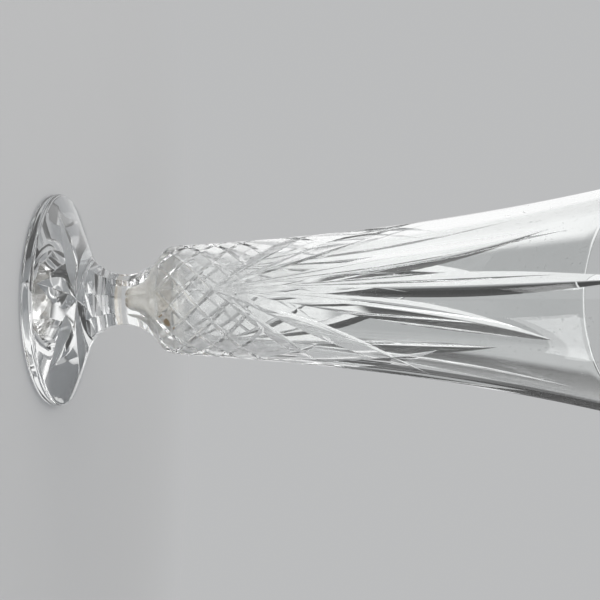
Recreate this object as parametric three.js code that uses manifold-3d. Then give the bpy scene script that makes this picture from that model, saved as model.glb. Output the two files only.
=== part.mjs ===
// A footed bud vase in clear cut glass, standing on its foot.
// Three pieces of glass, each shaped by itself and joined hot on flat faces: foot, stem and bowl.
// Millimetres, +Z up. The origin is the centre of the foot's base.
import * as THREE from 'three';
import { mergeVertices } from 'three/addons/utils/BufferGeometryUtils.js';
import Module from 'manifold-3d';

const wasm = await Module();
wasm.setup();

// Overall
const vaseHeight = 176;
const patternTurn = -39; // degrees, where the first fan faces
const segments = 36; // round the axis

// Foot
const footRadius = 31;
const footEdge = 3.4; // height of the upright edge
const footRound = 1.3; // rounding of the edge's two corners
const footHeight = 12.6; // where the foot meets the stem
const starRays = 6;
const starMargin = 6.6; // from the rays' points to the foot's edge
const starDepth = 2.1;
const starHalfAngle = 62; // degrees, of the ray's V
const starWidest = 0.4; // share of a ray's length
const starHeart = 0.35; // share of the depth at the centre

// Stem and the neck's round sweep into foot and bowl
const stemLength = 6;
const neckAboveStem = 1.7; // from the stem's top to the narrowest point
const neckRadius = 7.6;
const neckSweep = 12.2; // radius of the hollow curve in profile
const neckPanels = 9;
const panelOverFoot = 1.3; // how far the panels run down onto the foot
const panelOverFlare = 0.6; // how far they run past the flare
const panelProud = 1.004; // corner of a panel beside the round body
const panelRunOut = 20; // degrees, slope where a panel ends on the flare
const panelFootRunOut = 12; // degrees, slope where a panel ends on the foot

// Bowl, outside
const flareAngle = 57; // degrees of the sweep used by the flare
const shoulderSwell = 3.05; // from the flare's top out to the shoulder
const shoulderRise = 5.4;
const bowlTaper = 0.06; // outward slope just above the shoulder
const rimRadius = 36.7;
const rimFlare = 0.242; // outward slope at the rim

// Bowl, inside
const floorThickness = 2.2; // glass under the hollow's tip
const tipRise = 4; // height of the tip's rounding
const flareWall = 5.4;
const wallAtShoulder = 4.4;
const wallAtRim = 2.4;
const innerSwell = 1.4;
const innerRise = 4;

// Diamond lattice, a net of V grooves
const diamondsAround = 12;
const diamondHeight = 7.84;
const diamondRows = 2; // from the shoulder to the fans' origins
const latticeMargin = 0.9; // from the flare's top to the lowest crossings
const grooveDepth = 0.45;
const grooveHalfAngle = 55; // degrees
const splitDepth = 0.25; // the fine upright line under each fan

// Fans of long pointed V cuts
const fanCount = 3;
const plainLip = 13.5; // plain glass between the longest cut and the rim
const mitreHalfAngle = 65; // degrees
const mitreWidest = 0.62; // share of a cut's length
const mitreStart = 0.12; // share of the depth at the fan's origin
// Each pair of cuts: turn from the fan's axis, share of the fan's length, and depth as a share of the wall
const fanCuts = [
  { turn: 0, reach: 1, share: 0.58, steps: 8 },
  { turn: 32.5, reach: 0.805, share: 0.53, steps: 7 },
  { turn: 75, reach: 0.546, share: 0.36, steps: 7 },
  { turn: 73, reach: 0.26, share: 0.22, steps: 5 },
];

const cutClearance = 1.4; // how far a cutter stands out of the glass
const beyond = 5; // how far a cutting body reaches past what it cuts
const tipLift = 0.05; // a cut's point ends this far above the surface

const degrees = THREE.MathUtils.degToRad;
const stemTop = footHeight + stemLength;
const neckHeight = stemTop + neckAboveStem;
const flareTop = neckHeight + neckSweep * Math.sin(degrees(flareAngle));
const flareRadius = neckRadius + neckSweep * (1 - Math.cos(degrees(flareAngle)));
const shoulderHeight = flareTop + shoulderRise;
const shoulderRadius = flareRadius + shoulderSwell;
const latticeStart = flareTop + latticeMargin;
const fanBase = latticeStart + diamondRows * diamondHeight;
const fanTip = vaseHeight - plainLip;

const point = (r, z) => new THREE.Vector2(r, z);

// Points of a circle's arc in the profile, from one angle to another in degrees.
function arc(centreR, centreZ, radius, from, to, steps) {
  const points = [];
  for (let i = 0; i <= steps; i += 1) {
    const a = degrees(from + (to - from) * i / steps);
    points.push(point(centreR + radius * Math.cos(a), centreZ + radius * Math.sin(a)));
  }
  return points;
}

// The neck's sweep: angle 0 is the narrowest point, offset moves the curve into the glass.
function neckPoint(angle, offset = 0) {
  const a = degrees(angle);
  const radius = neckSweep + offset;
  return point(neckRadius + neckSweep - radius * Math.cos(a), neckHeight + radius * Math.sin(a));
}

function neckArc(from, to, steps, offset = 0) {
  const points = [];
  for (let i = 0; i <= steps; i += 1) {
    points.push(neckPoint(from + (to - from) * i / steps, offset));
  }
  return points;
}

// The neck's angle at a height.
function neckAngleAt(z, offset = 0) {
  return THREE.MathUtils.radToDeg(Math.asin((z - neckHeight) / (neckSweep + offset)));
}

// A quadratic curve that leaves one point and reaches another along two given slopes of r over z.
function shoulderBend(start, startSlope, end, endSlope) {
  const z = (end.x - endSlope * end.y - start.x + startSlope * start.y) / (startSlope - endSlope);
  return new THREE.QuadraticBezierCurve(start, point(start.x + startSlope * (z - start.y), z), end);
}

const outerBend = shoulderBend(
  point(flareRadius, flareTop),
  Math.tan(degrees(flareAngle)),
  point(shoulderRadius, shoulderHeight),
  bowlTaper,
);

// Radius on a bend at a height, where z is quadratic in the curve's parameter.
function bendRadius(bend, z) {
  const a = bend.v0.y - 2 * bend.v1.y + bend.v2.y;
  const b = 2 * (bend.v1.y - bend.v0.y);
  const c = bend.v0.y - z;
  const t = Math.abs(a) < 1e-9 ? -c / b : (-b + Math.sqrt(b * b - 4 * a * c)) / (2 * a);
  return bend.getPoint(t).x;
}

// Outer radius of the bowl's wall, a smooth flare from the shoulder to the rim.
function wallRadius(z) {
  const length = vaseHeight - shoulderHeight;
  const t = (z - shoulderHeight) / length;
  const t2 = t * t;
  const t3 = t2 * t;
  return (2 * t3 - 3 * t2 + 1) * shoulderRadius + (3 * t2 - 2 * t3) * rimRadius
    + (t3 - 2 * t2 + t) * bowlTaper * length + (t3 - t2) * rimFlare * length;
}

// Outer radius of the neck and bowl at any height.
function outerRadius(z) {
  if (z <= flareTop) return neckPoint(neckAngleAt(z)).x;
  if (z < shoulderHeight) return bendRadius(outerBend, z);
  return wallRadius(z);
}

function wallThickness(z) {
  const t = (z - shoulderHeight) / (vaseHeight - shoulderHeight);
  return THREE.MathUtils.lerp(wallAtShoulder, wallAtRim, Math.max(t, 0));
}

// A closed solid of a profile turned round the Z axis.
function turned(profile, around = segments) {
  const geometry = new THREE.LatheGeometry(profile, around);
  geometry.rotateX(Math.PI / 2);
  geometry.rotateZ(degrees(patternTurn));
  return solid(geometry);
}

// A manifold solid of a closed geometry, whichever way its faces are wound.
function solid(geometry) {
  geometry.deleteAttribute('normal');
  geometry.deleteAttribute('uv');
  const merged = mergeVertices(geometry, 1e-4);
  const index = merged.index.array;
  const triangles = [];
  for (let i = 0; i < index.length; i += 3) {
    const [a, b, c] = [index[i], index[i + 1], index[i + 2]];
    if (a !== b && b !== c && c !== a) triangles.push(a, b, c);
  }
  const vertProperties = new Float32Array(merged.attributes.position.array);
  const build = (list) => new wasm.Manifold(new wasm.Mesh({
    numProp: 3,
    vertProperties,
    triVerts: new Uint32Array(list),
  }));
  const body = build(triangles);
  return body.volume() > 0 ? body : build(triangles.reverse());
}

// A V-shaped cutter along a row of stations, each with its place, outward normal and depth.
function vCutter(stations, halfAngle) {
  const positions = [];
  const index = [];
  const spread = Math.tan(degrees(halfAngle));
  const last = stations.length - 1;
  stations.forEach(({ place, normal, depth }, i) => {
    const before = stations[Math.max(i - 1, 0)].place;
    const after = stations[Math.min(i + 1, last)].place;
    const side = after.clone().sub(before).cross(normal).normalize();
    const top = place.clone().addScaledVector(normal, cutClearance);
    const reach = (depth + cutClearance) * spread;
    positions.push(...place.clone().addScaledVector(normal, -depth).toArray());
    positions.push(...top.clone().addScaledVector(side, reach).toArray());
    positions.push(...top.clone().addScaledVector(side, -reach).toArray());
  });
  for (let i = 0; i < last; i += 1) {
    for (let j = 0; j < 3; j += 1) {
      const [a, b] = [3 * i + j, 3 * i + (j + 1) % 3];
      index.push(a, b, a + 3, b, b + 3, a + 3);
    }
  }
  index.push(0, 2, 1, 3 * last, 3 * last + 1, 3 * last + 2);
  const geometry = new THREE.BufferGeometry();
  geometry.setAttribute('position', new THREE.Float32BufferAttribute(positions, 3));
  geometry.setIndex(index);
  return solid(geometry);
}

// A place on the bowl's outside with its normal.
function onBowl(z, angle, depth) {
  const step = 0.01;
  const slope = (outerRadius(z + step) - outerRadius(z - step)) / (2 * step);
  const a = degrees(patternTurn + angle);
  const r = outerRadius(z);
  return {
    place: new THREE.Vector3(r * Math.cos(a), r * Math.sin(a), z),
    normal: new THREE.Vector3(Math.cos(a), Math.sin(a), -slope).normalize(),
    depth,
  };
}

// Depth along a pointed cut: from a shallow start through the widest place to nothing.
function leaf(t, widest, start) {
  if (t < widest) return start + (1 - start) * THREE.MathUtils.smoothstep(t, 0, widest);
  return Math.cos(Math.PI / 2 * (t - widest) / (1 - widest));
}

// One cut of a fan, bending away from the fan's axis to one side.
function fanCut({ turn, reach, share, steps }, fan, side) {
  const tip = THREE.MathUtils.lerp(fanBase, fanTip, reach);
  const stations = [];
  for (let i = 0; i <= steps; i += 1) {
    const t = i / steps;
    const z = THREE.MathUtils.lerp(fanBase, tip, t);
    const depth = share * wallThickness(z) * leaf(t, mitreWidest, mitreStart) - tipLift * t;
    stations.push(onBowl(z, fan * 360 / fanCount + side * turn * t, depth));
  }
  return vCutter(stations, mitreHalfAngle);
}

// The height at which a rising lattice groove meets the outermost cut of the next fan.
function grooveEnd(turnToFan) {
  const outermost = fanCuts[fanCuts.length - 1];
  const cutSlope = outermost.turn / (outermost.reach * (fanTip - fanBase));
  const grooveSlope = 360 / diamondsAround / diamondHeight;
  return fanBase + (turnToFan - grooveSlope * (fanBase - latticeStart)) / (cutSlope + grooveSlope);
}

// One slanting groove of the lattice from a crossing in the lowest row.
function latticeGroove(number, side) {
  const pitch = 360 / diamondsAround;
  const fanPitch = 360 / fanCount;
  const start = number * pitch;
  const climb = pitch * diamondRows;
  const turnToFan = Math.ceil((start + climb) / fanPitch - 1e-6) * fanPitch - start;
  const end = grooveEnd(turnToFan);
  const angleAt = (z) => side * (start + (z - latticeStart) * pitch / diamondHeight);
  const low = latticeStart - latticeMargin;
  const stations = [onBowl(low, angleAt(low), -tipLift)];
  const steps = Math.max(Math.round((end - latticeStart) / diamondHeight * 2), 1);
  for (let i = 0; i <= steps; i += 1) {
    const z = THREE.MathUtils.lerp(latticeStart, end, i / steps);
    stations.push(onBowl(z, angleAt(z), grooveDepth));
  }
  return vCutter(stations, grooveHalfAngle);
}

// The fine upright line from the shoulder to a fan's origin.
function splitLine(fan) {
  const stations = [];
  const steps = 2 * diamondRows;
  for (let i = 0; i <= steps; i += 1) {
    const z = THREE.MathUtils.lerp(latticeStart, fanBase, i / steps);
    stations.push(onBowl(z, fan * 360 / fanCount, splitDepth));
  }
  return vCutter(stations, grooveHalfAngle);
}

// One ray of the star in the foot's underside.
function starRay(number) {
  const a = degrees(patternTurn + number * 360 / starRays);
  const steps = 5;
  const length = footRadius - starMargin;
  const stations = [];
  for (let i = 0; i <= steps; i += 1) {
    const t = i / steps;
    stations.push({
      place: new THREE.Vector3(length * t * Math.cos(a), length * t * Math.sin(a), 0),
      normal: new THREE.Vector3(0, 0, -1),
      depth: starDepth * leaf(t, starWidest, starHeart) - tipLift * t,
    });
  }
  return vCutter(stations, starHalfAngle);
}

// A nine-sided body that leaves flat panels along the neck when a round body is cut to it.
function panelBody() {
  const wide = footRadius + rimRadius;
  const low = footHeight - panelOverFoot;
  const lowest = neckPoint(neckAngleAt(low));
  const highest = point(outerRadius(flareTop + panelOverFlare), flareTop + panelOverFlare);
  const run = Math.tan(degrees(panelRunOut)) * wide;
  const footRun = Math.tan(degrees(panelFootRunOut)) * wide;
  const curve = [...neckArc(neckAngleAt(low), flareAngle, 10), highest];
  const panels = curve.map((p) => point(p.x * panelProud, p.y));
  const profile = [
    point(0, -beyond - run),
    point(wide, -beyond - run),
    point(wide, lowest.y - footRun),
    ...panels,
    point(wide, highest.y + run),
    point(wide, vaseHeight + beyond + run),
    point(0, vaseHeight + beyond + run),
  ];
  return turned(profile, neckPanels);
}

// The foot: a flat base, an upright edge and a low cone that runs into the neck's sweep.
function footSolid() {
  const edgeR = footRadius - footRound;
  const edgeZ = footEdge - footRound;
  const toNeck = point(neckRadius + neckSweep - edgeR, neckHeight - edgeZ);
  const between = Math.acos((footRound + neckSweep) / toNeck.length());
  const coneAngle = THREE.MathUtils.radToDeg(Math.atan2(toNeck.y, toNeck.x) - between);
  const profile = [
    point(0, 0),
    ...arc(edgeR, footRound, footRound, -90, 0, 4),
    ...arc(edgeR, edgeZ, footRound, 0, coneAngle, 4),
    ...neckArc(-coneAngle, neckAngleAt(footHeight), 6),
    point(0, footHeight),
  ];
  let foot = turned(profile).intersect(panelBody());
  for (let number = 0; number < starRays; number += 1) {
    foot = foot.subtract(starRay(number));
  }
  return foot;
}

// The stem: the solid length between foot and bowl.
function stemSolid() {
  const profile = [
    point(0, footHeight),
    ...neckArc(neckAngleAt(footHeight), neckAngleAt(stemTop), 5),
    point(0, stemTop),
  ];
  return turned(profile).intersect(panelBody());
}

// The bowl's outside from the stem's top to the rounded lip, then its inside down to the hollow's tip.
function bowlProfile() {
  const wallSteps = 9;
  const lip = wallAtRim / 2;
  const lipBase = vaseHeight - lip;
  const outside = neckArc(neckAngleAt(stemTop), flareAngle, 7);
  outside.push(...outerBend.getPoints(4).slice(1));
  for (let i = 1; i < wallSteps; i += 1) {
    const z = THREE.MathUtils.lerp(shoulderHeight, lipBase, i / wallSteps);
    outside.push(point(wallRadius(z), z));
  }
  const rim = arc(wallRadius(lipBase) - lip, lipBase, lip, 0, 180, 4);

  const innerShoulder = shoulderHeight + innerRise / 2;
  const innerRadius = wallRadius(innerShoulder) - wallThickness(innerShoulder);
  const tipCentre = stemTop + floorThickness + tipRise;
  const bendStart = (neckRadius + neckSweep - innerRadius + innerSwell) / (neckSweep + flareWall);
  const bendAngle = THREE.MathUtils.radToDeg(Math.acos(bendStart));
  const flare = neckArc(neckAngleAt(tipCentre, flareWall), bendAngle, 6, flareWall);
  const innerBend = shoulderBend(
    flare[flare.length - 1],
    Math.tan(degrees(bendAngle)),
    point(innerRadius, innerShoulder),
    bowlTaper,
  );
  const inside = [point(0, stemTop + floorThickness)];
  for (let i = 1; i < 4; i += 1) {
    const a = Math.PI / 2 * i / 4;
    inside.push(point(flare[0].x * Math.sin(a), tipCentre - tipRise * Math.cos(a)));
  }
  inside.push(...flare, ...innerBend.getPoints(4).slice(1));
  for (let i = 1; i < wallSteps - 2; i += 1) {
    const z = THREE.MathUtils.lerp(innerShoulder, lipBase, i / (wallSteps - 2));
    inside.push(point(wallRadius(z) - wallThickness(z), z));
  }
  return [point(0, stemTop), ...outside, ...rim, ...inside.reverse()];
}

function bowlSolid() {
  let bowl = turned(bowlProfile()).intersect(panelBody());
  for (let number = 0; number < diamondsAround; number += 1) {
    bowl = bowl.subtract(latticeGroove(number, 1)).subtract(latticeGroove(number, -1));
  }
  for (let fan = 0; fan < fanCount; fan += 1) {
    bowl = bowl.subtract(splitLine(fan));
    for (const cut of fanCuts) {
      const sides = cut.turn === 0 ? [1] : [1, -1];
      for (const side of sides) bowl = bowl.subtract(fanCut(cut, fan, side));
    }
  }
  return bowl;
}

function glass(name) {
  return new THREE.MeshStandardMaterial({
    name,
    color: 0xe6eeee,
    roughness: 0.04,
    metalness: 0,
    transparent: true,
    opacity: 0.35,
  });
}

function piece(name, body) {
  const { vertProperties, triVerts } = body.getMesh();
  const geometry = new THREE.BufferGeometry();
  geometry.setAttribute('position', new THREE.Float32BufferAttribute(vertProperties, 3));
  geometry.setIndex(new THREE.Uint32BufferAttribute(triVerts, 1));
  geometry.computeVertexNormals();
  const mesh = new THREE.Mesh(geometry, glass(`${name}_glass`));
  mesh.name = name;
  return mesh;
}

const vase = new THREE.Group();
vase.add(piece('foot', footSolid()));
vase.add(piece('stem', stemSolid()));
vase.add(piece('bowl', bowlSolid()));

export default vase;
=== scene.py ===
"""A footed bud vase in clear cut glass: foot, stem and bowl, fused end to end, on a pale studio floor.

Everything is in metres, +Z up, with the origin at the centre of the foot's base. The cutting is laid out
with the first fan on +X, and each finished piece is then turned to the way it faces.
"""

import math
from collections import namedtuple

import bpy
from mathutils import Matrix, Vector


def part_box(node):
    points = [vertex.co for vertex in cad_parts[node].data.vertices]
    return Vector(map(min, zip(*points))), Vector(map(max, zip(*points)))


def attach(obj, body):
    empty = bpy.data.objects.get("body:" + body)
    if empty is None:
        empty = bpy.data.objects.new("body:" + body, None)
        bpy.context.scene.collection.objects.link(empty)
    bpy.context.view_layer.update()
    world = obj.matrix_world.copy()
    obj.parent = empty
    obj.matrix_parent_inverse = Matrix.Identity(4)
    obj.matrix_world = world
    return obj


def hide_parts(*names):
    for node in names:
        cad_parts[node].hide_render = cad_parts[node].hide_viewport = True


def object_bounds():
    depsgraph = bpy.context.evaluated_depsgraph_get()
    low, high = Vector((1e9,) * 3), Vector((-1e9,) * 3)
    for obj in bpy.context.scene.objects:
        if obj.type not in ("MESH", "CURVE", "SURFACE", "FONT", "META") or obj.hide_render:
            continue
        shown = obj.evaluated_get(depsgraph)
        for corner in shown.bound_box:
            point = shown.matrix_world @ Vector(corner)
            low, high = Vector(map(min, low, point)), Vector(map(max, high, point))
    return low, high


bl_info = {
    "name": "Footed Bud Vase",
    "version": (1, 0, 0),
    "blender": (4, 5, 0),
    "location": "View3D > Sidebar > Vase",
    "description": "Models a footed bud vase in cut glass and its studio",
    "category": "Add Mesh",
}

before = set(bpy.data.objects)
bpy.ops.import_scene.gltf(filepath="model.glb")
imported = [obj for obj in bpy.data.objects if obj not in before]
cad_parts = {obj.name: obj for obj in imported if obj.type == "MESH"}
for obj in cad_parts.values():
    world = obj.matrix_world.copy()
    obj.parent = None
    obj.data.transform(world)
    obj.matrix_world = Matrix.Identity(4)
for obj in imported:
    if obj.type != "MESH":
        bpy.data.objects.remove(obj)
CAD_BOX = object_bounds()
FOOT_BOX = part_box("foot")
STEM_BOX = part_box("stem")
BOWL_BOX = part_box("bowl")

MM = 0.001
BODY = "root"
PATTERN_TURN = math.radians(-39)  # where the first fan faces

SMOOTH_ANGLE = math.radians(15)  # edges sharper than this stay crisp
MERGE_DISTANCE = 0.002 * MM  # corners that lie closer together become one
JOINT_REACH = 0.01 * MM  # a face whose centre is this near a joint's height belongs to the joint
LEVEL = 0.999  # upright part of the normal from which a face counts as level

# Steps along each stretch of the turned outline
CORNER_STEPS = 8
CONE_STEPS = 6
FOOT_SWEEP_STEPS = 24
STEM_STEPS = 12
FLARE_STEPS = 26
SHOULDER_STEPS = 12
WALL_STEPS = 48
LIP_STEPS = 12
INNER_WALL_STEPS = 32
INNER_BEND_STEPS = 10
WELL_STEPS = 16
TIP_STEPS = 8
PANEL_STEPS = 40

GROOVE_STEPS = 8  # along a groove, for one diamond
TIP_LIFT = 0.05 * MM  # a cut's point ends this far above the surface
CLEARANCE = 1.4 * MM  # how far a cutter stands out of the glass
TRIANGLE_HEIGHT = 1.5  # of an even triangle in a circle of radius 1
TRIANGLE_HALF_WIDTH = math.cos(math.radians(30))

# One kind of long cut in a fan: the turn from the fan's axis at the cut's point, its share of the fan's
# length and the share of the wall that it cuts through
FanCut = namedtuple("FanCut", "turn reach share")
AXIAL_CUT = FanCut(0.0, 1.0, 0.58)
PAIRED_CUTS = (
    FanCut(math.radians(32.5), 0.805, 0.53),
    FanCut(math.radians(75.0), 0.546, 0.36),
    FanCut(math.radians(73.0), 0.260, 0.22),
)

# A place on a cutter's path: the point on the glass, the outward normal there and the depth of the cut
Station = namedtuple("Station", "place normal depth")


# Properties

def length(name, value, description):
    return bpy.props.FloatProperty(
        name=name, description=description, default=value, min=0.0, precision=5, unit="LENGTH")


def angle(name, degrees, description):
    return bpy.props.FloatProperty(
        name=name, description=description, default=math.radians(degrees), unit="ROTATION")


def share(name, value, description):
    return bpy.props.FloatProperty(
        name=name, description=description, default=value, min=0.0, max=1.0, subtype="FACTOR")


def number(name, value, description):
    return bpy.props.FloatProperty(name=name, description=description, default=value, min=0.0)


def count(name, value, description):
    return bpy.props.IntProperty(name=name, description=description, default=value, min=1)


def colour(name, value, description):
    return bpy.props.FloatVectorProperty(
        name=name, description=description, default=value, min=0.0, max=1.0, size=3, subtype="COLOR")


class VaseSizes(bpy.types.PropertyGroup):
    """Sizes of the turned glass"""
    segments: count("Segments", 216, "Faces round the axis")
    foot_radius: length("Foot radius", FOOT_BOX[1].x, "Outer radius of the foot")
    foot_edge: length("Foot edge", 3.4 * MM, "Height of the foot's upright edge")
    foot_round: length("Foot corner", 1.3 * MM, "Rounding of the edge's two corners")
    foot_height: length("Foot height", FOOT_BOX[1].z, "Where the foot meets the stem")
    stem_top: length("Stem top", STEM_BOX[1].z, "Where the stem meets the bowl")
    neck_above: length("Neck above stem", 1.7 * MM, "From the stem's top to the narrowest point")
    neck_radius: length("Neck radius", 7.6 * MM, "Radius at the narrowest point")
    neck_sweep: length("Neck sweep", 12.2 * MM, "Radius of the hollow curve from foot to bowl")
    flare_angle: angle("Flare angle", 57, "How much of the sweep the flare uses")
    shoulder_swell: length("Shoulder swell", 3.05 * MM, "From the flare's top out to the shoulder")
    shoulder_rise: length("Shoulder rise", 5.4 * MM, "Height of the shoulder's bend")
    bowl_taper: number("Bowl taper", 0.06, "Outward slope just above the shoulder")
    height: length("Height", BOWL_BOX[1].z, "Overall height")
    rim_radius: length("Rim radius", 36.7 * MM, "Outer radius that the wall reaches at the rim")
    rim_flare: number("Rim flare", 0.242, "Outward slope at the rim")
    floor_thickness: length("Floor", 2.2 * MM, "Glass under the hollow's tip")
    tip_rise: length("Tip rise", 4 * MM, "Height of the rounding at the hollow's tip")
    flare_wall: length("Flare wall", 5.4 * MM, "Wall at the flare")
    wall_at_shoulder: length("Wall at shoulder", 4.4 * MM, "Wall at the shoulder")
    wall_at_rim: length("Wall at rim", 2.4 * MM, "Wall at the rim")
    inner_swell: length("Inner swell", 1.4 * MM, "How far the inner bend goes out")
    inner_rise: length("Inner rise", 4 * MM, "Height of the inner bend")


class VaseCutting(bpy.types.PropertyGroup):
    """Sizes of the cut pattern"""
    panels: count("Panels", 9, "Upright flats round the neck")
    panel_over_foot: length("Panels on foot", 1.3 * MM, "How far the panels run down onto the foot")
    panel_over_flare: length("Panels on flare", 0.6 * MM, "How far the panels run past the flare")
    panel_proud: number("Panel corner", 1.004, "Radius of a panel's corner beside the round body")
    panel_run_out: angle("Panel run-out", 20, "Slope at which a panel ends on the flare")
    panel_foot_run_out: angle("Panel run-out on foot", 12, "Slope at which a panel ends on the foot")
    diamonds: count("Diamonds", 12, "Diamonds round the bowl")
    diamond_height: length("Diamond height", 7.84 * MM, "Height of one diamond")
    diamond_rows: count("Diamond rows", 2, "Rows from the shoulder to the fans' origins")
    lattice_margin: length("Lattice margin", 0.9 * MM, "From the flare's top to the lowest crossings")
    groove_depth: length("Groove depth", 0.45 * MM, "Depth of the lattice's grooves")
    groove_angle: angle("Groove angle", 55, "Half angle of a groove's V")
    split_depth: length("Split depth", 0.25 * MM, "Depth of the fine upright line under each fan")
    fans: count("Fans", 3, "Fans of long cuts round the bowl")
    plain_lip: length("Plain lip", 13.5 * MM, "Plain glass between the longest cut and the rim")
    mitre_angle: angle("Mitre angle", 65, "Half angle of a long cut's V")
    mitre_widest: share("Mitre widest", 0.62, "Where a long cut is widest")
    mitre_start: share("Mitre start", 0.12, "Share of the depth at a fan's origin")
    cut_steps: count("Cut steps", 28, "Steps along a long cut")
    rays: count("Rays", 6, "Rays of the star under the foot")
    ray_margin: length("Ray margin", 6.6 * MM, "From the rays' points to the foot's edge")
    ray_depth: length("Ray depth", 2.1 * MM, "Depth of a ray")
    ray_angle: angle("Ray angle", 62, "Half angle of a ray's V")
    ray_widest: share("Ray widest", 0.4, "Where a ray is widest")
    ray_heart: share("Ray heart", 0.35, "Share of the depth at the star's centre")
    wheel_round: share("Wheel edge", 0.05, "Rounding at the bottom of every cut")


class GlassLook(bpy.types.PropertyGroup):
    """The glass and what lies on it"""
    tint: colour("Glass", (0.975, 0.985, 0.982), "Colour of the clear glass")
    ior: number("Refractive index", 1.54, "Refractive index of lead glass")
    polish: share("Polish", 0.012, "Roughness of the fire-polished glass")
    waviness: share("Waviness", 0.02, "Strength of the slight waves in the surface")
    stain: colour("Stain", (0.42, 0.27, 0.12), "Brown tinge in the hollow's tip")
    scale: colour("Lime scale", (0.74, 0.74, 0.73), "Pale film inside the bowl and spots on the lip")
    cream: colour("Cream", (0.93, 0.89, 0.81), "Thicker film in the narrow well")
    shade: colour("Shade", (0.86, 0.87, 0.88), "What one face of the bowl lets through to its shadow")
    foot_shade: colour("Foot shade", (0.74, 0.75, 0.76), "The same for the thick glass of foot and stem")
    inner_shade: colour("Inner shade", (0.97, 0.97, 0.97), "The same for the inside of the bowl")


class StageLook(bpy.types.PropertyGroup):
    """Floor, light and camera"""
    floor: colour("Floor", (0.51, 0.513, 0.517), "Colour of the floor")
    backdrop: colour("Backdrop", (0.50, 0.505, 0.51), "Colour behind the floor")
    white: number("White card", 1.0, "Brightness of the white card and of the light above")
    black: number("Dark card", 0.07, "Brightness of the dark cards round the glass")
    fill: number("Fill", 0.55, "Strength of the even light from all round")
    key: number("Key", 12.0, "Power of the large soft lamp, in watts")
    side: number("Side", 3.0, "Power of the long strip lamp, in watts")
    lens: number("Lens", 40.8, "Focal length on a 36 mm sensor, in millimetres")
    distance: length("Camera distance", 205 * MM, "From the camera to the vase's axis")
    camera_height: length("Camera height", 62.3 * MM, "Height of the camera above the foot's base")
    bearing: angle("Camera bearing", -29, "Direction from the vase to the camera")
    yaw: angle("Camera yaw", 2.8, "How far the camera looks up along the vase")


# Outline of the turned glass

def bend(start, start_slope, end, end_slope):
    """Corners of a quadratic curve that leaves start and reaches end along given slopes of r over z."""
    z = (end.x - end_slope * end.y - start.x + start_slope * start.y) / (start_slope - end_slope)
    return start, Vector((start.x + start_slope * (z - start.y), z)), end


def bend_points(corners, steps):
    first, middle, last = corners
    points = []
    for i in range(1, steps + 1):
        t = i / steps
        points.append(first * (1 - t) ** 2 + middle * 2 * t * (1 - t) + last * t * t)
    return points


def arc(centre, radius, start, end, steps):
    """Points of a circle's arc in the section."""
    points = []
    for i in range(steps + 1):
        turn = start + (end - start) * i / steps
        points.append(centre + Vector((math.cos(turn), math.sin(turn))) * radius)
    return points


def bend_radius(corners, z):
    """Radius at a height, where z is quadratic along the bend."""
    first, middle, last = corners
    nearly_straight = 1e-12
    a = first.y - 2 * middle.y + last.y
    b = 2 * (middle.y - first.y)
    c = first.y - z
    t = -c / b if abs(a) < nearly_straight else (-b + math.sqrt(b * b - 4 * a * c)) / (2 * a)
    return (first * (1 - t) ** 2 + middle * 2 * t * (1 - t) + last * t * t).x


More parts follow.
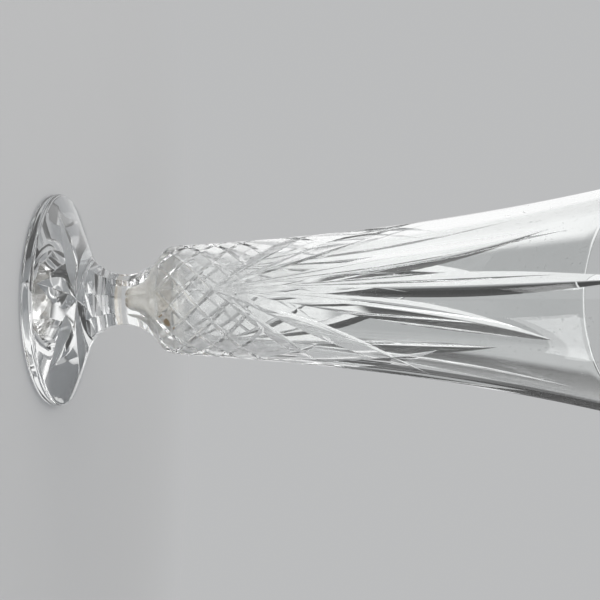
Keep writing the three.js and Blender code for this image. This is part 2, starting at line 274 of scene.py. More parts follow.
class Outline:
    """The vase's section: points are (radius, height)."""

    def __init__(self, sizes, cutting):
        self.s = sizes
        self.neck_height = sizes.stem_top + sizes.neck_above
        sweep = sizes.neck_sweep
        self.flare_top = self.neck_height + sweep * math.sin(sizes.flare_angle)
        self.flare_radius = sizes.neck_radius + sweep * (1 - math.cos(sizes.flare_angle))
        self.shoulder_height = self.flare_top + sizes.shoulder_rise
        self.shoulder_radius = self.flare_radius + sizes.shoulder_swell
        self.outer_bend = bend(
            Vector((self.flare_radius, self.flare_top)), math.tan(sizes.flare_angle),
            Vector((self.shoulder_radius, self.shoulder_height)), sizes.bowl_taper)
        self.lattice_start = self.flare_top + cutting.lattice_margin
        self.fan_base = self.lattice_start + cutting.diamond_rows * cutting.diamond_height
        self.fan_tip = sizes.height - cutting.plain_lip

    def neck_point(self, turn, offset=0.0):
        """The neck's sweep: turn 0 is the narrowest point, offset moves the curve into the glass."""
        radius = self.s.neck_sweep + offset
        across = self.s.neck_radius + self.s.neck_sweep - radius * math.cos(turn)
        return Vector((across, self.neck_height + radius * math.sin(turn)))

    def neck_turn(self, z, offset=0.0):
        return math.asin((z - self.neck_height) / (self.s.neck_sweep + offset))

    def neck_arc(self, start, end, steps, offset=0.0):
        return [self.neck_point(start + (end - start) * i / steps, offset) for i in range(steps + 1)]

    def wall_radius(self, z):
        """Outer radius of the bowl's wall, a smooth flare from the shoulder to the rim."""
        s = self.s
        rise = s.height - self.shoulder_height
        t = (z - self.shoulder_height) / rise
        square, cube = t * t, t * t * t
        return ((2 * cube - 3 * square + 1) * self.shoulder_radius
                + (3 * square - 2 * cube) * s.rim_radius
                + (cube - 2 * square + t) * s.bowl_taper * rise
                + (cube - square) * s.rim_flare * rise)

    def outer_radius(self, z):
        if z <= self.flare_top:
            return self.neck_point(self.neck_turn(z)).x
        if z < self.shoulder_height:
            return bend_radius(self.outer_bend, z)
        return self.wall_radius(z)

    def wall_thickness(self, z):
        t = max((z - self.shoulder_height) / (self.s.height - self.shoulder_height), 0.0)
        return self.s.wall_at_shoulder + (self.s.wall_at_rim - self.s.wall_at_shoulder) * t

    def on_bowl(self, z, turn, depth):
        """A cutter's station on the bowl's outside."""
        step = 0.01 * MM
        slope = (self.outer_radius(z + step) - self.outer_radius(z - step)) / (2 * step)
        r = self.outer_radius(z)
        place = Vector((r * math.cos(turn), r * math.sin(turn), z))
        normal = Vector((math.cos(turn), math.sin(turn), -slope)).normalized()
        return Station(place, normal, depth)

    def foot_rings(self):
        """From the base over the upright edge and the low cone up to the stem."""
        s = self.s
        low = Vector((s.foot_radius - s.foot_round, s.foot_round))
        high = Vector((low.x, s.foot_edge - s.foot_round))
        across = Vector((s.neck_radius + s.neck_sweep, self.neck_height)) - high
        cone = math.atan2(across.y, across.x) - math.acos((s.foot_round + s.neck_sweep) / across.length)
        rings = arc(low, s.foot_round, -math.pi / 2, 0, CORNER_STEPS)
        rings += arc(high, s.foot_round, 0, cone, CORNER_STEPS)
        edge = rings[-1]
        sweep = self.neck_arc(-cone, self.neck_turn(s.foot_height), FOOT_SWEEP_STEPS)
        rings += [edge.lerp(sweep[0], i / CONE_STEPS) for i in range(1, CONE_STEPS)]
        return rings + sweep

    def stem_rings(self):
        low, high = self.neck_turn(self.s.foot_height), self.neck_turn(self.s.stem_top)
        return self.neck_arc(low, high, STEM_STEPS)

    def bowl_rings(self):
        """Up the outside, over the rounded lip and down the inside to the hollow's tip."""
        s = self.s
        lip = s.wall_at_rim / 2
        lip_base = s.height - lip
        rings = self.neck_arc(self.neck_turn(s.stem_top), s.flare_angle, FLARE_STEPS)
        rings += bend_points(self.outer_bend, SHOULDER_STEPS)
        for i in range(1, WALL_STEPS):
            z = self.shoulder_height + (lip_base - self.shoulder_height) * i / WALL_STEPS
            rings.append(Vector((self.wall_radius(z), z)))
        rings += arc(Vector((self.wall_radius(lip_base) - lip, lip_base)), lip, 0, math.pi, LIP_STEPS)
        return rings + self.hollow_rings(lip_base)

    def hollow_rings(self, lip_base):
        """Down the inside: laid out from the tip up, then turned round."""
        s = self.s
        shoulder = self.shoulder_height + s.inner_rise / 2
        inner_radius = self.wall_radius(shoulder) - self.wall_thickness(shoulder)
        tip_centre = s.stem_top + s.floor_thickness + s.tip_rise
        bend_out = s.neck_radius + s.neck_sweep - inner_radius + s.inner_swell
        bend_turn = math.acos(bend_out / (s.neck_sweep + s.flare_wall))
        tip_turn = self.neck_turn(tip_centre, s.flare_wall)
        flare = self.neck_arc(tip_turn, bend_turn, WELL_STEPS, s.flare_wall)
        inner_bend = bend(
            flare[-1], math.tan(bend_turn), Vector((inner_radius, shoulder)), s.bowl_taper)
        rising = []
        for i in range(1, TIP_STEPS):
            turn = math.pi / 2 * i / TIP_STEPS
            z = tip_centre - s.tip_rise * math.cos(turn)
            rising.append(Vector((flare[0].x * math.sin(turn), z)))
        rising += flare + bend_points(inner_bend, INNER_BEND_STEPS)
        for i in range(1, INNER_WALL_STEPS):
            z = shoulder + (lip_base - shoulder) * i / INNER_WALL_STEPS
            rising.append(Vector((self.wall_radius(z) - self.wall_thickness(z), z)))
        return rising[::-1]

    def panel_rings(self, cutting):
        """A body with flat sides that fits the neck closely and runs wide of the foot and the bowl."""
        s = self.s
        wide = s.foot_radius + s.rim_radius
        run = math.tan(cutting.panel_run_out) * wide
        foot_run = math.tan(cutting.panel_foot_run_out) * wide
        low = s.foot_height - cutting.panel_over_foot
        high = self.flare_top + cutting.panel_over_flare
        neck = self.neck_arc(self.neck_turn(low), s.flare_angle, PANEL_STEPS)
        neck.append(Vector((self.outer_radius(high), high)))
        flats = [Vector((p.x * cutting.panel_proud, p.y)) for p in neck]
        bottom, top = low - 2 * run, high + 2 * run + s.height
        return [Vector((wide, bottom)), Vector((wide, low - foot_run)), *flats,
                Vector((wide, high + run)), Vector((wide, top))]


# Modelling by hand

def start_edit():
    bpy.ops.object.mode_set(mode="EDIT")
    bpy.ops.mesh.select_mode(type="VERT")
    bpy.ops.mesh.select_all(action="SELECT")


def end_edit():
    bpy.ops.object.mode_set(mode="OBJECT")


def pick(piece):
    """Makes a piece the only selected object and the active one."""
    bpy.ops.object.select_all(action="DESELECT")
    piece.select_set(True)
    bpy.context.view_layer.objects.active = piece


def first_ring(name, vertices, radius, height=0.0):
    """A filled circle round the axis, first corner on +X, placed in its mesh and open in edit mode."""
    bpy.ops.object.select_all(action="DESELECT")
    bpy.ops.mesh.primitive_circle_add(
        vertices=vertices, radius=radius, fill_type="NGON", location=(0, 0, height),
        rotation=(0, 0, -math.pi / 2))
    piece = bpy.context.object
    piece.name = name
    bpy.ops.object.transform_apply(location=True, rotation=True, scale=True)
    start_edit()
    return piece


def face_outwards():
    bpy.ops.mesh.select_all(action="SELECT")
    bpy.ops.mesh.normals_make_consistent(inside=False)


def turned(name, rings, sides, pointed=False):
    """A solid of revolution, extruded ring by ring; pointed closes the last ring to a point."""
    piece = first_ring(name, sides, rings[0].x, rings[0].y)
    for before, ring in zip(rings, rings[1:]):
        bpy.ops.mesh.extrude_region_move(TRANSFORM_OT_translate={"value": (0, 0, ring.y - before.y)})
        grow = ring.x / before.x
        bpy.ops.transform.resize(value=(grow, grow, 1), center_override=(0, 0, ring.y))
    if pointed:
        bpy.ops.mesh.merge(type="COLLAPSE")
    face_outwards()
    end_edit()
    return piece


def rotate_selected(rotation, centre):
    """Turns what is selected. Without a window the operator turns the other way, hence the minus."""
    for axis, turn in zip("XYZ", rotation.to_euler("XYZ")):
        bpy.ops.transform.rotate(
            value=-turn, orient_axis=axis, orient_type="GLOBAL", center_override=centre)


def station_frames(stations):
    """Centre, direction and height of a cutter's triangular section at each station."""
    frames = []
    for i, station in enumerate(stations):
        before = stations[max(i - 1, 0)].place
        after = stations[min(i + 1, len(stations) - 1)].place
        side = (after - before).cross(station.normal).normalized()
        inward = -station.normal
        along = side.cross(inward)
        height = station.depth + CLEARANCE
        centre = station.place + station.normal * (CLEARANCE - height / 3)
        frames.append((centre, Matrix((side, inward, along)).transposed(), height))
    return frames


def v_cutter(name, stations, half_angle, wheel_round):
    """A long body of V section, extruded from station to station."""
    frames = station_frames(stations)
    centre, facing, height = frames[0]
    piece = first_ring(name, 3, 1.0)
    shape_section(piece, height, half_angle, wheel_round)
    rotate_selected(facing, (0, 0, 0))
    bpy.ops.transform.translate(value=centre)
    for (old_centre, old_facing, old_height), (centre, facing, height) in zip(frames, frames[1:]):
        bpy.ops.mesh.extrude_region_move(TRANSFORM_OT_translate={"value": centre - old_centre})
        rotate_selected(facing @ old_facing.transposed(), centre)
        grow = height / old_height
        bpy.ops.transform.resize(value=(grow, grow, grow), center_override=centre)
    face_outwards()
    end_edit()
    return piece


def shape_section(piece, height, half_angle, wheel_round):
    """Makes the triangle in edit mode into a V that points along +Y, with a slightly rounded bottom."""
    bpy.ops.transform.rotate(value=-math.pi / 2, orient_axis="Z", center_override=(0, 0, 0))
    half_width = height * math.tan(half_angle)
    bpy.ops.transform.resize(
        value=(half_width / TRIANGLE_HALF_WIDTH, height / TRIANGLE_HEIGHT, 1), center_override=(0, 0, 0))
    bpy.ops.mesh.select_all(action="DESELECT")
    end_edit()
    bottom = max(piece.data.vertices, key=lambda v: v.co.y)
    bottom.select = True
    bpy.ops.object.mode_set(mode="EDIT")
    bpy.ops.mesh.bevel(offset=wheel_round * height, segments=2, affect="VERTICES")
    bpy.ops.mesh.select_all(action="SELECT")


def copy_round(piece, copies):
    """Repeats a cutter at even turns round the axis."""
    pick(piece)
    start_edit()
    bpy.ops.mesh.spin(steps=copies - 1, dupli=True, angle=math.tau * (copies - 1) / copies,
                      center=(0, 0, 0), axis=(0, 0, 1))
    face_outwards()
    end_edit()


def mirror_across_fan(piece):
    """Swaps a cutter to the other side of the fan on +X."""
    pick(piece)
    start_edit()
    bpy.ops.transform.resize(value=(1, -1, 1), center_override=(0, 0, 0))
    face_outwards()
    end_edit()


def join(name, parts):
    bpy.ops.object.select_all(action="DESELECT")
    for part in parts:
        part.select_set(True)
    bpy.context.view_layer.objects.active = parts[0]
    if len(parts) > 1:
        bpy.ops.object.join()
    parts[0].name = name
    return parts[0]


def boolean(piece, tool, operation):
    pick(piece)
    modifier = piece.modifiers.new("Cut", "BOOLEAN")
    modifier.operation = operation
    modifier.solver = "MANIFOLD"
    modifier.object = tool
    bpy.ops.object.modifier_apply(modifier=modifier.name)
    if not piece.data.polygons:
        raise RuntimeError(f"nothing of {piece.name} is left after {tool.name}")


def discard(tool):
    bpy.data.meshes.remove(tool.data)


def cut(piece, tool):
    boolean(piece, tool, "DIFFERENCE")
    discard(tool)


def cut_both_sides(piece, tool):
    """Cuts with a tool and then with its mirror image."""
    boolean(piece, tool, "DIFFERENCE")
    mirror_across_fan(tool)
    cut(piece, tool)


def flatten_panels(piece, outline, cutting):
    """Keeps what lies inside a body with flat sides."""
    body = turned("panel_body", outline.panel_rings(cutting), cutting.panels)
    boolean(piece, body, "INTERSECT")
    discard(body)


def leaf(t, widest, start):
    """Depth along a pointed cut: from a shallow start through the widest place to nothing."""
    if t < widest:
        grown = t / widest
        return start + (1 - start) * grown * grown * (3 - 2 * grown)
    return math.cos(math.pi / 2 * (t - widest) / (1 - widest))


def fan_cutter(kind, outline, cutting):
    """One long cut of the fan on +X, and its copies on the other fans."""
    tip = outline.fan_base + (outline.fan_tip - outline.fan_base) * kind.reach
    stations = []
    for i in range(cutting.cut_steps + 1):
        t = i / cutting.cut_steps
        z = outline.fan_base + (tip - outline.fan_base) * t
        full = kind.share * outline.wall_thickness(z)
        depth = full * leaf(t, cutting.mitre_widest, cutting.mitre_start) - TIP_LIFT * t
        stations.append(outline.on_bowl(z, kind.turn * t, depth))
    tool = v_cutter("fan_cutter", stations, cutting.mitre_angle, cutting.wheel_round)
    copy_round(tool, cutting.fans)
    return tool


def groove_end(turn_to_fan, outline, cutting):
    """The height at which a rising groove meets the outermost cut of the next fan."""
    outermost = PAIRED_CUTS[-1]
    cut_slope = outermost.turn / (outermost.reach * (outline.fan_tip - outline.fan_base))
    groove_slope = math.tau / cutting.diamonds / cutting.diamond_height
    climbed = groove_slope * (outline.fan_base - outline.lattice_start)
    return outline.fan_base + (turn_to_fan - climbed) / (cut_slope + groove_slope)


def lattice_groove(start, outline, cutting):
    """One groove of the lattice that climbs to the left from a crossing in the lowest row."""
    pitch = math.tau / cutting.diamonds
    fan_pitch = math.tau / cutting.fans
    climb = pitch * cutting.diamond_rows
    rounding = 1e-6  # keeps a groove that ends right on a fan's axis with that fan
    turn_to_fan = math.ceil((start + climb) / fan_pitch - rounding) * fan_pitch - start
    end = groove_end(turn_to_fan, outline, cutting)

    def turn_at(z):
        return start + (z - outline.lattice_start) * pitch / cutting.diamond_height

    low = outline.lattice_start - cutting.lattice_margin
    stations = [outline.on_bowl(low, turn_at(low), -TIP_LIFT)]
    steps = max(round((end - outline.lattice_start) / cutting.diamond_height * GROOVE_STEPS), 2)
    for i in range(steps + 1):
        z = outline.lattice_start + (end - outline.lattice_start) * i / steps
        stations.append(outline.on_bowl(z, turn_at(z), cutting.groove_depth))
    return v_cutter("groove", stations, cutting.groove_angle, cutting.wheel_round)


def lattice_cutter(outline, cutting):
    """All the grooves that climb one way."""
    pitch = math.tau / cutting.diamonds
    per_fan = cutting.diamonds // cutting.fans
    grooves = [lattice_groove(i * pitch, outline, cutting) for i in range(per_fan)]
    tool = join("lattice_cutter", grooves)
    copy_round(tool, cutting.fans)
    return tool


def split_cutter(outline, cutting):
    """The fine upright lines from the shoulder to the fans' origins."""
    stations = []
    steps = GROOVE_STEPS * cutting.diamond_rows
    for i in range(steps + 1):
        z = outline.lattice_start + (outline.fan_base - outline.lattice_start) * i / steps
        stations.append(outline.on_bowl(z, 0.0, cutting.split_depth))
    tool = v_cutter("split_cutter", stations, cutting.groove_angle, cutting.wheel_round)
    copy_round(tool, cutting.fans)
    return tool


def double_ray(turn, sizes, cutting):
    """Two opposite rays of the star in one cutter, from point to point through the centre."""
    reach = sizes.foot_radius - cutting.ray_margin
    steps = cutting.cut_steps
    stations = []
    for i in range(-steps, steps + 1):
        t = abs(i) / steps
        depth = cutting.ray_depth * leaf(t, cutting.ray_widest, cutting.ray_heart) - TIP_LIFT * t
        place = Vector((reach * i / steps * math.cos(turn), reach * i / steps * math.sin(turn), 0))
        stations.append(Station(place, Vector((0, 0, -1)), depth))
    return v_cutter("ray_cutter", stations, cutting.ray_angle, cutting.wheel_round)


# Materials

class Value:
    """A shader socket in an expression: its operators add Math nodes."""

    def __init__(self, graph, socket):
        self.graph = graph
        self.socket = socket

    def _math(self, operation, *values):
        return self.graph.node("ShaderNodeMath", {"operation": operation}, dict(enumerate(values)))[0]

    def __add__(self, other):
        return self._math("ADD", self, other)

    def __sub__(self, other):
        return self._math("SUBTRACT", self, other)

    def __mul__(self, other):
        return self._math("MULTIPLY", self, other)

    def __truediv__(self, other):
        return self._math("DIVIDE", self, other)

    def __pow__(self, other):
        return self._math("POWER", self, other)

    def larger(self, other):
        return self._math("MAXIMUM", self, other)

    def smaller(self, other):
        return self._math("MINIMUM", self, other)

    def ramp(self, low, high):
        """0 at low and 1 at high, with soft ends; low may be the larger."""
        made = self.graph.node(
            "ShaderNodeMapRange", {"interpolation_type": "SMOOTHSTEP"},
            {"Value": self, "From Min": low, "From Max": high})
        return made["Result"]


class Graph:
    """The node tree of one material or world."""

    def __init__(self, owner):
        owner.use_nodes = True
        self.tree = owner.node_tree
        self.tree.nodes.clear()

    def node(self, kind, settings=None, inputs=None):
        """Adds a node, sets it up and returns its outputs by name and by number."""
        made = self.tree.nodes.new(kind)
        for name, value in (settings or {}).items():
            setattr(made, name, value)
        for key, value in (inputs or {}).items():
            socket = made.inputs[key]
            if isinstance(value, Value):
                self.tree.links.new(value.socket, socket)
            else:
                socket.default_value = value
        outputs = {}
        for index, socket in enumerate(made.outputs):
            if socket.enabled:
                outputs.setdefault(socket.name, Value(self, socket))
            outputs[index] = Value(self, socket)
        return outputs

    def mix(self, factor, first, second):
        """A colour between two colours."""
        made = self.tree.nodes.new("ShaderNodeMix")
        made.data_type = "RGBA"
        for key, value in ((0, factor), (6, first), (7, second)):  # the sockets of a colour mix
            socket = made.inputs[key]
            if isinstance(value, Value):
                self.tree.links.new(value.socket, socket)
            else:
                socket.default_value = value if isinstance(value, (int, float)) else (*value, 1)
        return Value(self, made.outputs[2])

    def blend(self, factor, first, second):
        """A shader between two shaders."""
        return self.node("ShaderNodeMixShader", {}, {0: factor, 1: first, 2: second})[0]

    def noise(self, vector, scale, detail=2.0, roughness=0.5):
        """Soft noise between 0 and 1; scale is in waves per metre."""
        made = self.node("ShaderNodeTexNoise", {}, {
            "Vector": vector, "Scale": scale, "Detail": detail, "Roughness": roughness})
        return made["Fac"]

    def surface(self, shader, kind="ShaderNodeOutputMaterial"):
        self.node(kind, {}, {"Surface": shader})


def place_on_object(graph):
    """Object coordinates, radius from the axis and height, in metres."""
    position = graph.node("ShaderNodeTexCoord")["Object"]
    axes = graph.node("ShaderNodeSeparateXYZ", {}, {0: position})
    radius = (axes["X"] * axes["X"] + axes["Y"] * axes["Y"]) ** 0.5
    return position, radius, axes["Z"]


MOST_REFLECTIONS = 4  # a ray that has been thrown back so often leaves the glass
MOST_BOUNCES = 10  # and so does one that has been bent and thrown back so often in all
WAY_OUT = (0.98, 0.98, 0.98)  # what is left of its light then


def reached(counter, times):
    """1 where a counter of whole numbers has come to this many, else 0."""
    return counter.ramp(times - 0.6, times - 0.4)


def through_shadows(graph, glass, shade):
    """Lets lamps and soft light pass the glass with a light shade, and caught rays leave it."""
    path = graph.node("ShaderNodeLightPath")
    way_out = graph.node("ShaderNodeBsdfTransparent", {}, {"Color": (*WAY_OUT, 1)})["BSDF"]
    caught = reached(path["Glossy Depth"], MOST_REFLECTIONS)
    caught = caught.larger(reached(path["Ray Depth"], MOST_BOUNCES))
    clear = graph.node("ShaderNodeBsdfTransparent", {}, {"Color": (*shade, 1)})["BSDF"]
    free = graph.blend(caught, glass, way_out)
    return graph.blend(path["Is Shadow Ray"].larger(path["Is Diffuse Ray"]), free, clear)


def joint_material():
    """The face where two pieces are fused, which can't be seen."""
    material = bpy.data.materials.new("fused_joint")
    graph = Graph(material)
    graph.surface(graph.node("ShaderNodeBsdfTransparent", {}, {"Color": (1, 1, 1, 1)})["BSDF"])
    return material


SLOW_WAVES = 90  # per metre
FINE_WAVES = 900
FINE_WAVES_SHARE = 0.06  # of the relief
RELIEF = 0.3 * MM
CLEARER = 1.012  # the clearest glass against the plain tint
POWDER = 2600  # grains per metre of the film
POWDER_DARKEST = 0.9  # the darkest grain against the palest
POWDER_ROUGHNESS = 0.7


def glass_material(name, look, shade, film=None, stain=None):
    """Polished clear glass. film is the mask of the scale on it, stain the mask of what is brown there."""
    material = bpy.data.materials.new(name)
    graph = Graph(material)
    position, _, height = place_on_object(graph)
    slow = graph.noise(position, SLOW_WAVES)
    fine = graph.noise(position, FINE_WAVES, detail=3.0)
    tint = graph.mix(slow.ramp(0.35, 0.7), look.tint, [min(c * CLEARER, 1.0) for c in look.tint])
    relief = graph.node("ShaderNodeBump", {}, {
        "Strength": look.waviness, "Distance": RELIEF,
        "Height": slow + fine * FINE_WAVES_SHARE})["Normal"]
    roughness = slow.ramp(0.2, 0.9) * look.polish + look.polish
    glass = graph.node("ShaderNodeBsdfPrincipled", {}, {
        "Base Color": tint, "Roughness": roughness, "IOR": look.ior, "Transmission Weight": 1.0,
        "Normal": relief})["BSDF"]
    if film:
        powder = graph.noise(position, POWDER, detail=3.0, roughness=0.7)
        pale = graph.mix(powder, look.scale, [c * POWDER_DARKEST for c in look.scale])
        pale = graph.mix(in_well(height), pale, look.cream)
        pale = graph.mix(stain(graph, position, height), pale, look.stain)
        dust = graph.node("ShaderNodeBsdfPrincipled", {}, {
            "Base Color": pale, "Roughness": POWDER_ROUGHNESS, "Normal": relief})["BSDF"]
        glass = graph.blend(film(graph, position, height), glass, dust)
    graph.surface(through_shadows(graph, glass, shade))
    return material


# Heights between which the film on the inside grows
FILM_FADE = (100 * MM, 36 * MM)
THICKER_FADE = (72 * MM, 52 * MM)
WELL_FADE = (40 * MM, 30 * MM)
LIP_FADE = (118 * MM, 140 * MM)
TINGE_FADE = (22.4 * MM, 21.3 * MM)

# How much of the glass each part of the film hides
FILM_PATCHES = 0.14
FILM_CLOUDS = 0.22
FILM_LEAST = 0.05
FILM_THICKER = 0.2
FILM_WELL = 0.32
FILM_SPOTS = 0.2
FILM_MOST = 0.95

TINGE_SHARE = 0.5
SPECK_SHARE = 0.95
SPECK = Vector((9.5, 0.9, 34.6)) * MM  # a brown speck on the hollow's wall
SPECK_EDGE = (1.6 * MM, 1.1 * MM)
SPECK_RAGGED = 0.7 * MM


def speck(graph, position):
    """1 on the ragged brown speck."""
    away = graph.node(
        "ShaderNodeVectorMath", {"operation": "DISTANCE"}, {0: position, 1: SPECK})["Value"]
    ragged = away + graph.noise(position, scale=1500) * SPECK_RAGGED
    return ragged.ramp(*SPECK_EDGE)


def in_well(height):
    """1 in the narrow well at the bottom of the hollow."""
    return height.ramp(*WELL_FADE)


def bowl_film(graph, position, height):
    """Lime scale low in the hollow, a cream film in the well and water spots near the lip."""
    clouds = graph.noise(position, scale=260, detail=4.0, roughness=0.6).ramp(0.35, 0.7)
    patches = graph.noise(position, scale=110).ramp(0.35, 0.6)
    mottled = patches * FILM_PATCHES + clouds * FILM_CLOUDS + FILM_LEAST
    low = height.ramp(*FILM_FADE) * mottled
    thicker = height.ramp(*THICKER_FADE) * (mottled * FILM_THICKER + FILM_LEAST)
    well = in_well(height) * FILM_WELL
    spots = graph.noise(position, scale=520).ramp(0.66, 0.72)
    lip = height.ramp(*LIP_FADE) * spots * FILM_SPOTS
    return (low + thicker + well + lip + speck(graph, position)).smaller(FILM_MOST)


def bowl_stain(graph, position, height):
    """The brown tinge at the hollow's tip, and the speck."""
    cloudy = graph.noise(position, scale=700).ramp(0.25, 0.65)
    tinge = height.ramp(*TINGE_FADE) * cloudy * TINGE_SHARE
    return tinge.larger(speck(graph, position) * SPECK_SHARE)


# Operators

def show_as_piece(piece, node, material, joints):
    """Turns a finished piece to the way it faces, smooths and dresses it, and sets it in the frame."""
    pick(piece)
    start_edit()
    rotate_selected(Matrix.Rotation(PATTERN_TURN, 3, "Z"), (0, 0, 0))
    bpy.ops.mesh.remove_doubles(threshold=MERGE_DISTANCE)
    face_outwards()
    end_edit()
    piece.data.materials.clear()
    piece.data.materials.append(material)
    dress_joints(piece, joints)
    bpy.ops.object.shade_smooth_by_angle(angle=SMOOTH_ANGLE)
    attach(piece, BODY)
    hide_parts(node)


def dress_faces(piece, material, belongs):
    """Gives a material to the faces of a piece that belongs() picks."""
    piece.data.materials.append(material)
    start_edit()
    bpy.ops.mesh.select_mode(type="FACE")
    bpy.ops.mesh.select_all(action="DESELECT")
    end_edit()
    for face in piece.data.polygons:
        face.select = belongs(face)
    bpy.ops.object.mode_set(mode="EDIT")
    piece.active_material_index = len(piece.data.materials) - 1
    bpy.ops.object.material_slot_assign()
    end_edit()


def dress_joints(piece, heights):
    """Gives the flat faces at these heights the material of a fused joint."""
    def fused(face):
        return abs(face.normal.z) > LEVEL and any(abs(face.center.z - z) < JOINT_REACH for z in heights)

    dress_faces(piece, bpy.data.materials.get("fused_joint") or joint_material(), fused)


def on_the_inside(face):
    """Whether a face of the bowl looks at the axis."""
    return face.normal.x * face.center.x + face.normal.y * face.center.y < 0


class VASE_OT_foot(bpy.types.Operator):
    """Models the foot with its rounded edge and the star cut into its underside"""
    bl_idname = "vase.foot"
    bl_label = "Foot"

    def execute(self, context):
        sizes, cutting = context.scene.vase_sizes, context.scene.vase_cutting
        outline = Outline(sizes, cutting)
        foot = turned("foot_glass", outline.foot_rings(), sizes.segments)
        flatten_panels(foot, outline, cutting)
        for i in range(cutting.rays // 2):
            cut(foot, double_ray(math.tau * i / cutting.rays, sizes, cutting))
        look = context.scene.glass_look
        material = glass_material("foot_clear_glass", look, look.foot_shade)
        show_as_piece(foot, "foot", material, [sizes.foot_height])
        return {"FINISHED"}


class VASE_OT_stem(bpy.types.Operator):
    """Models the short solid stem with its nine panels"""
    bl_idname = "vase.stem"
    bl_label = "Stem"

    def execute(self, context):
        sizes, cutting = context.scene.vase_sizes, context.scene.vase_cutting
        outline = Outline(sizes, cutting)
        stem = turned("stem_glass", outline.stem_rings(), sizes.segments)
        flatten_panels(stem, outline, cutting)
        look = context.scene.glass_look
        material = glass_material("stem_clear_glass", look, look.foot_shade)
        show_as_piece(stem, "stem", material, [sizes.foot_height, sizes.stem_top])
        return {"FINISHED"}


class VASE_OT_bowl(bpy.types.Operator):
    """Models the hollow bowl with its diamond lattice, fans of long cuts and plain lip"""
    bl_idname = "vase.bowl"
    bl_label = "Bowl"

    def execute(self, context):
        sizes, cutting = context.scene.vase_sizes, context.scene.vase_cutting
        outline = Outline(sizes, cutting)
        bowl = turned("bowl_glass", outline.bowl_rings(), sizes.segments, pointed=True)
        flatten_panels(bowl, outline, cutting)
        cut_both_sides(bowl, lattice_cutter(outline, cutting))
        cut(bowl, split_cutter(outline, cutting))
        cut(bowl, fan_cutter(AXIAL_CUT, outline, cutting))
        for kind in PAIRED_CUTS:
            cut_both_sides(bowl, fan_cutter(kind, outline, cutting))
        look = context.scene.glass_look
        material = glass_material("bowl_clear_glass", look, look.shade)
        show_as_piece(bowl, "bowl", material, [sizes.stem_top])
        inner = glass_material("bowl_inner_glass", look, look.inner_shade, bowl_film, bowl_stain)
        dress_faces(bowl, inner, on_the_inside)
        return {"FINISHED"}


class VASE_OT_stage(bpy.types.Operator):
    """Makes the pale floor, the soft studio light and the camera"""
    bl_idname = "vase.stage"
    bl_label = "Stage"

    def execute(self, context):
        look = context.scene.stage_look
        make_floor(look)
        make_world(context.scene, look)
        make_lamps(look)
        make_camera(context.scene, look)
        context.scene.view_settings.view_transform = "Standard"
        return {"FINISHED"}


FLOOR_SIDES = 96
FLOOR_RADIUS = 3.0
FLOOR_DROP = 0.1 * MM  # below the foot's base, so that the two faces don't meet
FLOOR_FADE = (0.10, 0.35)  # distances from the vase between which the floor melts into the backdrop
FLOOR_ROUGHNESS = 0.75
FLOOR_DARKEST = 0.985  # the darkest grain against the palest


def make_floor(look):
    """A wide round floor that melts into the backdrop. The glass sees the cards through its far part."""
    bpy.ops.object.select_all(action="DESELECT")
    bpy.ops.mesh.primitive_circle_add(
        vertices=FLOOR_SIDES, radius=FLOOR_RADIUS, fill_type="NGON", location=(0, 0, -FLOOR_DROP))
    floor = bpy.context.object
    floor.name = "studio_floor"
    material = bpy.data.materials.new("pale_floor")
    graph = Graph(material)
    position, radius, _ = place_on_object(graph)
    grain = graph.noise(position, scale=60, detail=3.0)
    base = graph.mix(grain, look.floor, [c * FLOOR_DARKEST for c in look.floor])
    matt = graph.node("ShaderNodeBsdfPrincipled", {}, {
        "Base Color": base, "Roughness": FLOOR_ROUGHNESS})["BSDF"]
    clear = graph.node("ShaderNodeBsdfTransparent", {}, {"Color": (1, 1, 1, 1)})["BSDF"]
    backdrop = graph.node("ShaderNodeEmission", {}, {"Color": (*look.backdrop, 1)})["Emission"]
    path = graph.node("ShaderNodeLightPath")
    far = graph.blend(path["Is Camera Ray"], clear, backdrop)
    graph.surface(graph.blend(radius.ramp(*FLOOR_FADE), matt, far))
    floor.data.materials.append(material)


# What the glass sees round it. Bearings are in degrees from the front (-Y) towards +X. Heights are the
# upright part of a direction: 0 at the horizon, 1 overhead. A pair of them is where an edge fades in.
DARK_CARDS = ((60, 148), (-5, 33))
RAISED_DARK_CARD = (192, 230)
WHITE_CARD = (250, 352)
WHITE_STRIP = (220, 265)  # low, behind the vase
CARD_EDGE = 1.2  # degrees over which a card's side fades
CARD_BOTTOM = (-0.24, -0.14)
RAISED_BOTTOM = (-0.06, 0.06)
WHITE_CARD_TOP = (0.85, 0.75)
STRIP_BOTTOM = (-0.14, -0.1)
STRIP_TOP = (0.09, 0.06)
DARK_ABOVE = (0.62, 0.7)
DARK_ABOVE_SHARE = 0.75
LIGHT_ABOVE = (0.9, 0.94)

# The even light, which is brighter from one side
BRIGHT_BEARING = 331
FILL_SPREAD = (-0.7, 0.7)  # how far a direction points there, between the dimmest and the brightest
FILL_DIMMEST = 0.2
FILL_RISE = 1.6  # from the dimmest to the brightest


def pointing_to(axes, bearing):
    """How far a direction points to a bearing, from -1 to 1."""
    turn = math.radians(bearing)
    return axes["X"] * math.sin(turn) - axes["Y"] * math.cos(turn)


def card(axes, bearings):
    """1 where a tall card stands between two bearings."""
    first, last = bearings
    half_width = (last - first) / 2
    flat = (axes["X"] * axes["X"] + axes["Y"] * axes["Y"]) ** 0.5
    outside = math.cos(math.radians(half_width + CARD_EDGE))
    inside = math.cos(math.radians(half_width - CARD_EDGE))
    return (pointing_to(axes, (first + last) / 2) / flat).ramp(outside, inside)


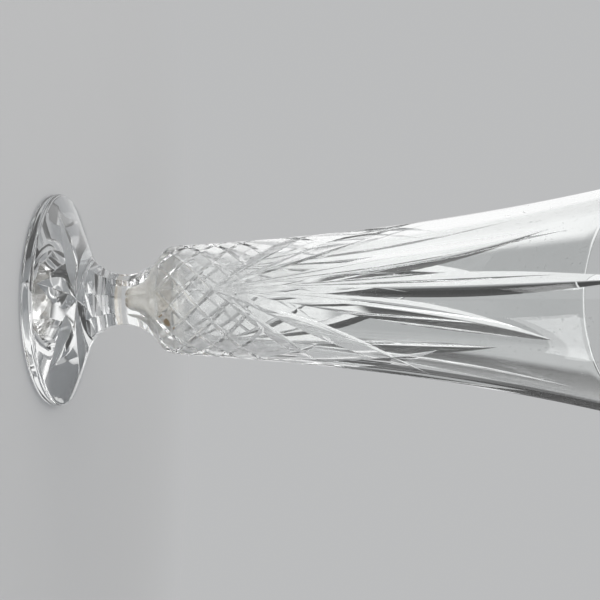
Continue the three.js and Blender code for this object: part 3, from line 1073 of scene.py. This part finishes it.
def make_world(scene, look):
    """Even light, brighter from one side, and a pale backdrop. The glass also sees the cards."""
    world = bpy.data.worlds.new("studio")
    scene.world = world
    graph = Graph(world)
    axes = graph.node("ShaderNodeSeparateXYZ", {}, {0: graph.node("ShaderNodeTexCoord")["Generated"]})
    up = axes["Z"]
    dark = card(axes, RAISED_DARK_CARD) * up.ramp(*RAISED_BOTTOM)
    for bearings in DARK_CARDS:
        dark = dark.larger(card(axes, bearings))
    dark = dark.larger(up.ramp(*DARK_ABOVE) * DARK_ABOVE_SHARE)
    white = (card(axes, WHITE_CARD) * up.ramp(*WHITE_CARD_TOP)).larger(up.ramp(*LIGHT_ABOVE))
    strip = card(axes, WHITE_STRIP) * up.ramp(*STRIP_TOP) * up.ramp(*STRIP_BOTTOM)
    standing = up.ramp(*CARD_BOTTOM)
    seen = graph.mix(dark * standing, look.backdrop, [look.black] * 3)
    seen = graph.mix((white * standing).larger(strip), seen, [look.white] * 3)
    plain = graph.node("ShaderNodeBackground", {}, {"Color": (*look.backdrop, 1)})["Background"]
    cards = graph.node("ShaderNodeBackground", {}, {"Color": seen})["Background"]
    strength = pointing_to(axes, BRIGHT_BEARING).ramp(*FILL_SPREAD) * FILL_RISE + FILL_DIMMEST
    fill = graph.node("ShaderNodeBackground", {}, {
        "Color": (1, 1, 1, 1), "Strength": strength * look.fill})["Background"]
    path = graph.node("ShaderNodeLightPath")
    through_glass = path["Is Glossy Ray"].larger(path["Is Transmission Ray"])
    light = graph.blend(through_glass, fill, cards)
    graph.surface(graph.blend(path["Is Camera Ray"], light, plain), "ShaderNodeOutputWorld")


def add_lamp(name, place, size, power):
    """A soft rectangular lamp that faces the middle of the vase."""
    bpy.ops.object.light_add(type="AREA", location=place)
    lamp = bpy.context.object
    lamp.name = name
    lamp.data.shape = "RECTANGLE"
    lamp.data.size, lamp.data.size_y = size
    lamp.data.energy = power
    aim = Vector((0, 0, CAD_BOX[1].z / 2)) - Vector(place)
    lamp.rotation_euler = aim.to_track_quat("-Z", "Y").to_euler()


# Place and size of the two lamps, in metres
KEY_PLACE, KEY_SIZE = (0.05, -0.62, 1.6), (1.2, 1.2)
SIDE_PLACE, SIDE_SIZE = (1.28, -0.22, 0.95), (0.16, 1.2)


def make_lamps(look):
    add_lamp("key_lamp", KEY_PLACE, KEY_SIZE, look.key)
    add_lamp("side_lamp", SIDE_PLACE, SIDE_SIZE, look.side)


def make_camera(scene, look):
    """The photograph's camera: it lies on its side, so the vase runs from left to right."""
    toward = Vector((math.cos(look.bearing), math.sin(look.bearing), 0))
    upright = Vector((0, 0, 1))
    back = toward * math.cos(look.yaw) - upright * math.sin(look.yaw)
    right = upright * math.cos(look.yaw) + toward * math.sin(look.yaw)
    above = back.cross(right)
    bpy.ops.object.camera_add(location=toward * look.distance + upright * look.camera_height)
    camera = bpy.context.object
    camera.rotation_euler = Matrix((right, above, back)).transposed().to_euler()
    camera.data.lens = look.lens
    camera.data.clip_start = 10 * MM
    scene.camera = camera


class VASE_PT_panel(bpy.types.Panel):
    """The vase's pieces and sizes"""
    bl_idname = "VASE_PT_panel"
    bl_label = "Footed Bud Vase"
    bl_space_type = "VIEW_3D"
    bl_region_type = "UI"
    bl_category = "Vase"

    def draw(self, context):
        for step in STEPS:
            self.layout.operator(step.bl_idname)
        for group in (context.scene.vase_sizes, context.scene.vase_cutting,
                      context.scene.glass_look, context.scene.stage_look):
            box = self.layout.box()
            box.label(text=group.bl_rna.description)
            for name in group.__annotations__:
                box.prop(group, name)


STEPS = (VASE_OT_foot, VASE_OT_stem, VASE_OT_bowl, VASE_OT_stage)
GROUPS = {
    "vase_sizes": VaseSizes,
    "vase_cutting": VaseCutting,
    "glass_look": GlassLook,
    "stage_look": StageLook,
}


def register():
    for group in GROUPS.values():
        bpy.utils.register_class(group)
    for name, group in GROUPS.items():
        setattr(bpy.types.Scene, name, bpy.props.PointerProperty(type=group))
    for step in STEPS:
        bpy.utils.register_class(step)
    bpy.utils.register_class(VASE_PT_panel)


def unregister():
    bpy.utils.unregister_class(VASE_PT_panel)
    for step in reversed(STEPS):
        bpy.utils.unregister_class(step)
    for name, group in GROUPS.items():
        delattr(bpy.types.Scene, name)
        bpy.utils.unregister_class(group)


def main():
    register()
    bpy.ops.vase.foot()
    bpy.ops.vase.stem()
    bpy.ops.vase.bowl()
    bpy.ops.vase.stage()


if __name__ == "__main__":
    main()
